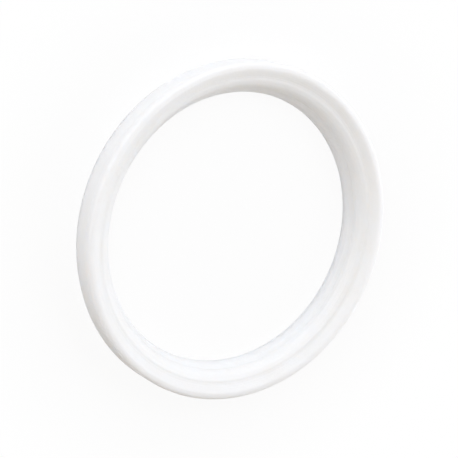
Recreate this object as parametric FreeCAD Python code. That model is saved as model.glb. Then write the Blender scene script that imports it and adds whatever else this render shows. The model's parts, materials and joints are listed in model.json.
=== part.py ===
import FreeCAD, Part
import math
import os

# A white moulded sealing ring, one solid turned about Z
# Its back face lies on z = 0, and its lip side faces +Z

# Driving dimensions, in millimetres
bore_diameter = 50.0
wall = 5.9
height = 5.6

# Back: flat, with a long lead-in chamfer outside and a small chamfer at the bore
lead_in_width = 0.45
lead_in_height = 1.1
back_chamfer_width = 0.3
back_chamfer_height = 0.35

# Outer wall: a rim land above the lead-in, then a shallow waist under the lip
rim_land_length = 0.6
waist_depth = 0.25
waist_drop = 2.0
lip_land_length = 1.1

# Lip: stands out to the full diameter again, with a flat crest that is rounded both ways
crest_width = 1.25
lip_edge_rounding = 0.6
crest_rounding = 1.0

# Foot land: a narrow flat ring where the inner flank of the lip ends
foot_land_inset = 2.7
foot_land_drop = 1.05
foot_land_width = 0.6
foot_rounding = 1.0
foot_land_edge_rounding = 0.5

# Seat: a slope that bulges a little as it falls from the foot land to a clear edge
seat_bulge = 0.3
seat_rounding = 2.0
seat_edge_step = 1.15
seat_edge_height = 3.15
seat_edge_rounding = 0.3

# Ledge: a narrow step below that edge, which slopes down to the mouth of the bore
ledge_step = 1.0
ledge_height = 2.5
mouth_height = 1.95
mouth_step = 0.3

# Bore: a straight land at the back, which opens out towards the mouth
bore_land_length = 0.85

# Worked out from them
bore_radius = bore_diameter / 2
outer_radius = bore_radius + wall

CRISP = 0
FULL_TURN = 360


def point(radius, level):
    """A point of the section, in the XZ half plane."""
    return FreeCAD.Vector(radius, 0, level)


def bulge_point(start, end, bulge):
    """The middle of a side that falls towards the axis, moved out square to it by the bulge."""
    outwards = point(end.z - start.z, start.x - end.x).normalize()
    return (start + end) / 2 + outwards * bulge


def corner_arc(before, corner, after, rounding):
    """The start, middle and end of the arc that is tangent to both sides of a corner."""
    to_before = (before - corner).normalize()
    to_after = (after - corner).normalize()
    half_angle = to_before.getAngle(to_after) / 2
    reach = rounding / math.tan(half_angle)
    bisector = (to_before + to_after).normalize()
    middle_reach = rounding / math.sin(half_angle) - rounding
    start = corner + to_before * reach
    middle = corner + bisector * middle_reach
    end = corner + to_after * reach
    return start, middle, end


def rounded_wire(corners):
    """A closed wire of straight sides and tangent arcs, from (point, rounding) pairs."""
    count = len(corners)
    points = [corner for corner, rounding in corners]
    arcs = []
    for index, (corner, rounding) in enumerate(corners):
        after = points[(index + 1) % count]
        arcs.append(corner_arc(points[index - 1], corner, after, rounding))
    edges = []
    for index, (start, middle, end) in enumerate(arcs):
        if corners[index][1] != CRISP:
            edges.append(Part.Arc(start, middle, end).toShape())
        next_start = arcs[(index + 1) % count][0]
        edges.append(Part.makeLine(end, next_start))
    return Part.Wire(edges)


def ring_section():
    """The section of the ring, from the back round the outside and over the lip to the bore."""
    rim_land_top = lead_in_height + rim_land_length
    crest_radius = outer_radius - crest_width
    foot_radius = outer_radius - foot_land_inset
    foot_height = height - foot_land_drop
    land_edge = point(foot_radius - foot_land_width, foot_height)
    seat_edge = point(bore_radius + seat_edge_step, seat_edge_height)
    bore_land_top = back_chamfer_height + bore_land_length
    corners = [
        (point(bore_radius + back_chamfer_width, 0), CRISP),
        (point(outer_radius - lead_in_width, 0), CRISP),
        (point(outer_radius, lead_in_height), CRISP),
        (point(outer_radius, rim_land_top), CRISP),
        (point(outer_radius - waist_depth, height - waist_drop), CRISP),
        (point(outer_radius, height - lip_land_length), CRISP),
        (point(outer_radius, height), lip_edge_rounding),
        (point(crest_radius, height), crest_rounding),
        (point(foot_radius, foot_height), foot_rounding),
        (land_edge, foot_land_edge_rounding),
        (bulge_point(land_edge, seat_edge, seat_bulge), seat_rounding),
        (seat_edge, seat_edge_rounding),
        (point(bore_radius + ledge_step, ledge_height), CRISP),
        (point(bore_radius + mouth_step, mouth_height), CRISP),
        (point(bore_radius, bore_land_top), CRISP),
        (point(bore_radius, back_chamfer_height), CRISP),
    ]
    return rounded_wire(corners)


def sealing_ring():
    """The section revolved once about Z."""
    section = Part.Face(ring_section())
    axis_point = FreeCAD.Vector(0, 0, 0)
    axis = FreeCAD.Vector(0, 0, 1)
    return section.revolve(axis_point, axis, FULL_TURN)


os.makedirs("parts", exist_ok=True)
sealing_ring().exportStep("parts/sealing_ring.step")
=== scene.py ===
import json
import math

import bpy
import numpy as np
from mathutils import Matrix, Vector


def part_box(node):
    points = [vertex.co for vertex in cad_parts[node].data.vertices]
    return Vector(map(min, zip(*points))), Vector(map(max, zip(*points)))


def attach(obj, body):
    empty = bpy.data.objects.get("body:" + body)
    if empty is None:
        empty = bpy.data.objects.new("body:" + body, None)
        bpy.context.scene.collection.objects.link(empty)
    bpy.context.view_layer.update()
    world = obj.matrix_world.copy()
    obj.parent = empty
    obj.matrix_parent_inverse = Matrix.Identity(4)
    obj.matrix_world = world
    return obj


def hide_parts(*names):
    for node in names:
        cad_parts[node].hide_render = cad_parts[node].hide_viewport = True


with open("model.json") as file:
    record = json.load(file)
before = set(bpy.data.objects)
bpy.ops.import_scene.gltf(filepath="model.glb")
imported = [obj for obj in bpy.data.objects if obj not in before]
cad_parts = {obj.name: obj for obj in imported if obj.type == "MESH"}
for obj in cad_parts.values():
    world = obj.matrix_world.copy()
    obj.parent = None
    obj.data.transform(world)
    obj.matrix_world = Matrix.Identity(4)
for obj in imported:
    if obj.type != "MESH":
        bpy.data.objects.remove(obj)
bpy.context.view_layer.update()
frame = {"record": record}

MM = 0.001
PLAIN_WHITE = "#FFFFFF"

# The ring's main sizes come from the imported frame, in metres
low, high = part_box("sealing_ring")
outer_radius = (high.x - low.x) / 2
height = high.z - low.z
mounts = {mount["name"]: mount for mount in frame["record"]["mounts"]}
bore_radius = mounts["bore"]["dims"]["r_mm"] * MM


# Small helpers

def linear(hex_colour):
    """An sRGB hex colour as linear red, green, blue and alpha, by the sRGB standard's own curve."""
    channels = [int(hex_colour[i:i + 2], 16) / 255 for i in (1, 3, 5)]
    curve = [c / 12.92 if c <= 0.04045 else ((c + 0.055) / 1.055) ** 2.4 for c in channels]
    return (*curve, 1.0)


def add_node(tree, kind, settings=None, links=None):
    """Adds one node, with its attributes or input values and the sockets that feed its inputs."""
    node = tree.nodes.new(kind)
    for name, value in (settings or {}).items():
        if isinstance(name, str) and hasattr(node, name):
            setattr(node, name, value)
        else:
            node.inputs[name].default_value = value
    for name, socket in (links or {}).items():
        tree.links.new(socket, node.inputs[name])
    return node


def new_material(name):
    """An empty material and its node tree."""
    material = bpy.data.materials.new(name)
    material.use_nodes = True
    material.node_tree.nodes.clear()
    return material, material.node_tree


def new_object(name, data):
    """An object in the scene that holds this mesh, camera or lamp."""
    made = bpy.data.objects.new(name, data)
    bpy.context.scene.collection.objects.link(made)
    return made


# The ring's section: sizes of the outside, lip and foot land run from the rim and the top

LEAD_IN_WIDTH = 0.45 * MM
LEAD_IN_HEIGHT = 1.1 * MM
BACK_CHAMFER_WIDTH = 0.3 * MM
BACK_CHAMFER_HEIGHT = 0.35 * MM
RIM_LAND_LENGTH = 0.6 * MM
WAIST_DEPTH = 0.25 * MM
WAIST_DROP = 2.0 * MM
LIP_LAND_LENGTH = 1.1 * MM
CREST_WIDTH = 1.25 * MM
FOOT_LAND_INSET = 2.7 * MM
FOOT_LAND_DROP = 1.05 * MM
FOOT_LAND_WIDTH = 0.6 * MM

# Sizes of the seat, ledge and bore run from the bore's wall and the back

SEAT_BULGE = 0.3 * MM
SEAT_EDGE_STEP = 1.15 * MM
SEAT_EDGE_HEIGHT = 3.15 * MM
LEDGE_STEP = 1.0 * MM
LEDGE_HEIGHT = 2.5 * MM
MOUTH_HEIGHT = 1.95 * MM
MOUTH_STEP = 0.3 * MM
BORE_LAND_LENGTH = 0.85 * MM

# Roundings: the smallest is what a mould leaves on a crisp edge

SMALL_EDGE = 0.06 * MM
SOFT_EDGE = 0.3 * MM
WAIST_ROUNDING = 0.6 * MM
LIP_EDGE_ROUNDING = 0.6 * MM
CREST_ROUNDING = 1.0 * MM
FOOT_ROUNDING = 1.0 * MM
FOOT_LAND_EDGE_ROUNDING = 0.5 * MM
SEAT_ROUNDING = 2.0 * MM

# Fineness of the mesh: points on each arc, the longest step along a side, and steps in a turn

ARC_STEPS = 9
LONGEST_SIDE = 0.35 * MM
SEGMENTS = 360


def bulge_point(start, end, bulge):
    """The middle of a side that falls towards the axis, moved out square to it by the bulge."""
    fall = end - start
    return (start + end) / 2 + bulge * np.array([fall[1], -fall[0]]) / np.linalg.norm(fall)


def ring_corners():
    """The corners of the section as (radius, level, rounding), from the back round the outside."""
    inner, rim, top = bore_radius, outer_radius, height
    foot = np.array([rim - FOOT_LAND_INSET, top - FOOT_LAND_DROP])
    land_edge = foot - (FOOT_LAND_WIDTH, 0)
    seat_edge = np.array([inner + SEAT_EDGE_STEP, SEAT_EDGE_HEIGHT])
    return np.array([
        (inner + BACK_CHAMFER_WIDTH, 0, SMALL_EDGE),
        (rim - LEAD_IN_WIDTH, 0, SMALL_EDGE),
        (rim, LEAD_IN_HEIGHT, SOFT_EDGE),
        (rim, LEAD_IN_HEIGHT + RIM_LAND_LENGTH, SOFT_EDGE),
        (rim - WAIST_DEPTH, top - WAIST_DROP, WAIST_ROUNDING),
        (rim, top - LIP_LAND_LENGTH, SOFT_EDGE),
        (rim, top, LIP_EDGE_ROUNDING),
        (rim - CREST_WIDTH, top, CREST_ROUNDING),
        (*foot, FOOT_ROUNDING),
        (*land_edge, FOOT_LAND_EDGE_ROUNDING),
        (*bulge_point(land_edge, seat_edge, SEAT_BULGE), SEAT_ROUNDING),
        (*seat_edge, SOFT_EDGE),
        (inner + LEDGE_STEP, LEDGE_HEIGHT, SOFT_EDGE),
        (inner + MOUTH_STEP, MOUTH_HEIGHT, SOFT_EDGE),
        (inner, BACK_CHAMFER_HEIGHT + BORE_LAND_LENGTH, SOFT_EDGE),
        (inner, BACK_CHAMFER_HEIGHT, SMALL_EDGE),
    ])


def corner_arc(before, corner, after, rounding, steps):
    """Points on the arc that touches both sides of a corner: its centre lies on the bisector."""
    to_before = (before - corner) / np.linalg.norm(before - corner)
    to_after = (after - corner) / np.linalg.norm(after - corner)
    half_angle = math.acos(to_before @ to_after) / 2
    bisector = (to_before + to_after) / np.linalg.norm(to_before + to_after)
    centre = corner + bisector * rounding / math.sin(half_angle)
    reach = rounding / math.tan(half_angle)
    first = corner + to_before * reach - centre
    last = corner + to_after * reach - centre
    start = math.atan2(first[1], first[0])
    turn = math.atan2(first[0] * last[1] - first[1] * last[0], first @ last)
    angle = start + turn * np.linspace(0, 1, steps)
    return centre + rounding * np.stack([np.cos(angle), np.sin(angle)], axis=1)


def section_line(corners):
    """The closed line of the section: an arc at each corner, and even steps along each side."""
    points = corners[:, :2]
    before, after = np.roll(points, 1, axis=0), np.roll(points, -1, axis=0)
    arcs = [
        corner_arc(before[i], points[i], after[i], corners[i, 2], ARC_STEPS)
        for i in range(len(corners))
    ]
    line = []
    for index, arc in enumerate(arcs):
        end = arcs[(index + 1) % len(arcs)][0]
        steps = max(1, math.ceil(np.linalg.norm(end - arc[-1]) / LONGEST_SIDE))
        share = np.linspace(0, 1, steps + 1)[1:-1, None]
        line += [arc, arc[-1] + (end - arc[-1]) * share]
    return np.concatenate(line)


def turned_mesh(name, line, segments):
    """A closed line (r, z) carried once round Z: x = r cos a, y = r sin a, z = z.

    Its UV map gives the way round as a share of a turn, and the way along the line in millimetres.
    """
    count = len(line)
    angle = 2 * math.pi * np.arange(segments) / segments
    points = np.empty((segments, count, 3))
    points[..., 0] = np.cos(angle)[:, None] * line[:, 0]
    points[..., 1] = np.sin(angle)[:, None] * line[:, 0]
    points[..., 2] = line[:, 1]
    row, column = np.meshgrid(np.arange(segments), np.arange(count), indexing="ij")
    rows = np.stack([row, row + 1, row + 1, row], axis=2)
    columns = np.stack([column, column, column + 1, column + 1], axis=2)
    corner_index = (rows % segments) * count + columns % count
    step = np.linalg.norm(np.roll(line, -1, axis=0) - line, axis=1)
    along = np.concatenate([[0], np.cumsum(step)]) / MM
    uv = np.stack([rows / segments, along[columns]], axis=3)

    # There are as many points as faces
    total = segments * count
    mesh = bpy.data.meshes.new(name)
    mesh.vertices.add(total)
    mesh.vertices.foreach_set("co", points.ravel())
    mesh.loops.add(4 * total)
    mesh.loops.foreach_set("vertex_index", corner_index.ravel())
    mesh.polygons.add(total)
    mesh.polygons.foreach_set("loop_start", 4 * np.arange(total))
    mesh.polygons.foreach_set("use_smooth", np.ones(total, dtype=bool))
    mesh.uv_layers.new(name="turned").uv.foreach_set("vector", uv.ravel())
    mesh.update(calc_edges=True)
    mesh.validate()
    return mesh


# The ring's material

WARM_WHITE = "#F1F0ED"
COOL_WHITE = "#F5F6F7"
CLOUD_SIZE = 7 * MM
CLOUD_DETAIL = 3.0
CLOUD_ROUGHNESS = 0.55
GLOSS_PATCH = 2.5 * MM
FINE_DETAIL = 2.0
NOISE_RANGE = (0.3, 0.7)
SATIN_ROUGHNESS = (0.44, 0.56)
GRAIN_SIZE = 0.35 * MM
TURNING_PITCH_MM = 0.45
TURNING_SHARE = 0.2
BUMP_STRENGTH = 0.6
BUMP_DEPTH = 0.05 * MM
SILICONE_IOR = 1.41
LIGHT_SPREAD = 3.0 * MM
SPREAD_BY_COLOUR = (1.0, 0.95, 0.9)


def moulded_silicone():
    """White silicone rubber from a turned and finely blasted mould.

    Light enters it and spreads a few millimetres, red a little farther than blue, so its steps
    look soft and milky. The surface is satin, a little uneven in gloss. The grain and the turning
    lines of the real mould are about 0.05 mm, too fine to show, so both are drawn several times
    coarser and very shallow.
    """
    material, tree = new_material("moulded_white_silicone")
    place = add_node(tree, "ShaderNodeTexCoord")
    clouds = add_node(tree, "ShaderNodeTexNoise", {
        "Scale": 1 / CLOUD_SIZE, "Detail": CLOUD_DETAIL, "Roughness": CLOUD_ROUGHNESS,
    }, {"Vector": place.outputs["Object"]})
    white = add_node(tree, "ShaderNodeMix", {
        "data_type": "RGBA", 6: linear(WARM_WHITE), 7: linear(COOL_WHITE),
    }, {"Factor": clouds.outputs["Fac"]})
    patches = add_node(tree, "ShaderNodeTexNoise", {
        "Scale": 1 / GLOSS_PATCH, "Detail": FINE_DETAIL,
    }, {"Vector": place.outputs["Object"]})
    gloss = add_node(tree, "ShaderNodeMapRange", {
        "From Min": NOISE_RANGE[0], "From Max": NOISE_RANGE[1],
        "To Min": SATIN_ROUGHNESS[0], "To Max": SATIN_ROUGHNESS[1],
    }, {"Value": patches.outputs["Fac"]})
    grain = add_node(tree, "ShaderNodeTexNoise", {
        "Scale": 1 / GRAIN_SIZE, "Detail": FINE_DETAIL,
    }, {"Vector": place.outputs["Object"]})
    way = add_node(tree, "ShaderNodeSeparateXYZ", links={"Vector": place.outputs["UV"]})
    turns = add_node(tree, "ShaderNodeMath", {
        "operation": "MULTIPLY", 1: 2 * math.pi / TURNING_PITCH_MM,
    }, {0: way.outputs["Y"]})
    lines = add_node(tree, "ShaderNodeMath", {"operation": "SINE"}, {0: turns.outputs[0]})
    relief = add_node(tree, "ShaderNodeMath", {
        "operation": "MULTIPLY_ADD", 1: TURNING_SHARE,
    }, {0: lines.outputs[0], 2: grain.outputs["Fac"]})
    bump = add_node(tree, "ShaderNodeBump", {
        "Strength": BUMP_STRENGTH, "Distance": BUMP_DEPTH,
    }, {"Height": relief.outputs[0]})
    shader = add_node(tree, "ShaderNodeBsdfPrincipled", {
        "IOR": SILICONE_IOR,
        "Subsurface Weight": 1.0,
        "Subsurface Radius": SPREAD_BY_COLOUR,
        "Subsurface Scale": LIGHT_SPREAD,
    }, {
        "Base Color": white.outputs[2],
        "Roughness": gloss.outputs[0],
        "Normal": bump.outputs[0],
    })
    add_node(tree, "ShaderNodeOutputMaterial", links={"Surface": shader.outputs[0]})
    return material


ring_line = section_line(ring_corners())
ring = new_object("silicone_ring", turned_mesh("silicone_ring", ring_line, SEGMENTS))
ring.data.materials.append(moulded_silicone())
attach(ring, "root")
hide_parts("sealing_ring")


# Floor and surround: a white sweep, as the camera sees it, that keeps a soft shadow near the ring

FLOOR_REACH = 2.0
SHADOW_NEAR = 34 * MM
SHADOW_FAR = 60 * MM
SHADOW_SHARE = 0.1
CARD_WHITE = "#F7F7F7"
EVEN_LIGHT = "#FFEBCF"
EVEN_STRENGTH = 0.289


def seen_directly(tree):
    """One for rays from the camera and for mirror and clear rays, and zero for the rest."""
    path = add_node(tree, "ShaderNodeLightPath")
    mirrored = add_node(tree, "ShaderNodeMath", {"operation": "MAXIMUM"}, {
        0: path.outputs["Is Camera Ray"], 1: path.outputs["Is Glossy Ray"],
    })
    return add_node(tree, "ShaderNodeMath", {"operation": "MAXIMUM"}, {
        0: mirrored.outputs[0], 1: path.outputs["Is Transmission Ray"],
    })


def white_floor():
    """Matt white card: seen directly it is plain white, but near the ring a share of shading stays."""
    material, tree = new_material("matt_white_card")
    place = add_node(tree, "ShaderNodeTexCoord")
    distance = add_node(tree, "ShaderNodeVectorMath", {
        "operation": "LENGTH",
    }, {0: place.outputs["Object"]})
    plain = add_node(tree, "ShaderNodeMapRange", {
        "interpolation_type": "SMOOTHSTEP", "From Min": SHADOW_NEAR, "From Max": SHADOW_FAR,
        "To Min": 1 - SHADOW_SHARE, "To Max": 1.0,
    }, {"Value": distance.outputs["Value"]})
    share = add_node(tree, "ShaderNodeMath", {"operation": "MULTIPLY"}, {
        0: plain.outputs[0], 1: seen_directly(tree).outputs[0],
    })
    card = add_node(tree, "ShaderNodeBsdfDiffuse", {"Color": linear(CARD_WHITE)})
    glow = add_node(tree, "ShaderNodeEmission", {"Color": linear(PLAIN_WHITE), "Strength": 1.0})
    mixed = add_node(tree, "ShaderNodeMixShader", links={
        "Fac": share.outputs[0], 1: card.outputs[0], 2: glow.outputs[0],
    })
    add_node(tree, "ShaderNodeOutputMaterial", links={"Surface": mixed.outputs[0]})
    return material


def floor_mesh():
    """A square at level zero, far wider than the view."""
    mesh = bpy.data.meshes.new("floor")
    r = FLOOR_REACH
    mesh.from_pydata([(-r, -r, 0), (r, -r, 0), (r, r, 0), (-r, r, 0)], [], [(0, 1, 2, 3)])
    return mesh


def studio_world():
    """A weak, warm, even light from all round, seen directly as plain white."""
    world = bpy.data.worlds.new("studio")
    world.use_nodes = True
    tree = world.node_tree
    tree.nodes.clear()
    even = add_node(tree, "ShaderNodeBackground", {
        "Color": linear(EVEN_LIGHT), "Strength": EVEN_STRENGTH,
    })
    white = add_node(tree, "ShaderNodeBackground", {"Color": linear(PLAIN_WHITE), "Strength": 1.0})
    mixed = add_node(tree, "ShaderNodeMixShader", links={
        "Fac": seen_directly(tree).outputs[0], 1: even.outputs[0], 2: white.outputs[0],
    })
    add_node(tree, "ShaderNodeOutputWorld", links={"Surface": mixed.outputs[0]})
    bpy.context.scene.world = world


floor = new_object("floor", floor_mesh())
floor.data.materials.append(white_floor())
studio_world()


# Lamps: large soft boxes half a metre away, a little cooler than the even light
# For each one its heading and elevation in degrees, and its power in watts

LAMP_DISTANCE = 0.5
LAMP_SIZE = 0.4
DAYLIGHT = "#EDF4FF"
SOFTBOXES = {
    "window_side": (180, 38, 0.896),
    "far_window": (135, 38, 0.58),
    "front_fill": (270, 38, 1.336),
    "back_fill": (90, 12, 1.351),
    "low_fill": (225, 12, 0.453),
}


def softbox(name, heading, elevation, power):
    """A square area lamp that faces the ring, from a heading round Z and an elevation."""
    turn, rise = math.radians(heading), math.radians(elevation)
    level = math.cos(rise)
    towards = Vector((level * math.cos(turn), level * math.sin(turn), math.sin(rise)))
    data = bpy.data.lights.new(name, "AREA")
    data.shape = "SQUARE"
    data.size = LAMP_SIZE
    data.energy = power
    data.color = linear(DAYLIGHT)[:3]
    lamp = new_object(name, data)
    facing = towards.to_track_quat("Z", "Y").to_matrix().to_4x4()
    lamp.matrix_world = Matrix.Translation(towards * LAMP_DISTANCE) @ facing


for lamp_name, (heading, elevation, power) in SOFTBOXES.items():
    softbox(lamp_name, heading, elevation, power)


# Camera, at the photograph's angle: the ring's axis leans 34.65 degrees from the line of sight

IMAGE_SIZE = 458
LEAN = 34.65
AXIS_IN_PICTURE = -24.25
RING_RADIUS_PX = 173.5
CAMERA_DISTANCE_PX = 1700.0
RING_CENTRE_PX = (244.1, 234.7)
SENSOR = 36.0
CLIP_NEAR = 0.01
CLIP_FAR = 20.0


def photo_camera():
    """Looks down on the lip side, rolled so that the ring's axis points right and a little down."""
    lean, roll = math.radians(LEAN), math.radians(AXIS_IN_PICTURE)
    back = Vector((0, -math.sin(lean), math.cos(lean)))
    axis = Vector((0, math.cos(lean), math.sin(lean)))
    side = back.cross(axis)
    right = axis * math.cos(roll) - side * math.sin(roll)
    up = axis * math.sin(roll) + side * math.cos(roll)
    pixel = outer_radius / RING_RADIUS_PX
    data = bpy.data.cameras.new("photo_camera")
    data.sensor_width = SENSOR
    data.lens = SENSOR * CAMERA_DISTANCE_PX / IMAGE_SIZE
    data.clip_start = CLIP_NEAR
    data.clip_end = CLIP_FAR
    across = (RING_CENTRE_PX[0] - IMAGE_SIZE / 2) * pixel
    down = (RING_CENTRE_PX[1] - IMAGE_SIZE / 2) * pixel
    lip_centre = Vector((0, 0, height))
    stand = lip_centre - right * across + up * down + back * CAMERA_DISTANCE_PX * pixel
    camera = new_object("photo_camera", data)
    camera.matrix_world = Matrix.Translation(stand) @ Matrix((right, up, back)).transposed().to_4x4()
    bpy.context.scene.camera = camera


photo_camera()
bpy.context.scene.view_settings.view_transform = "Standard"
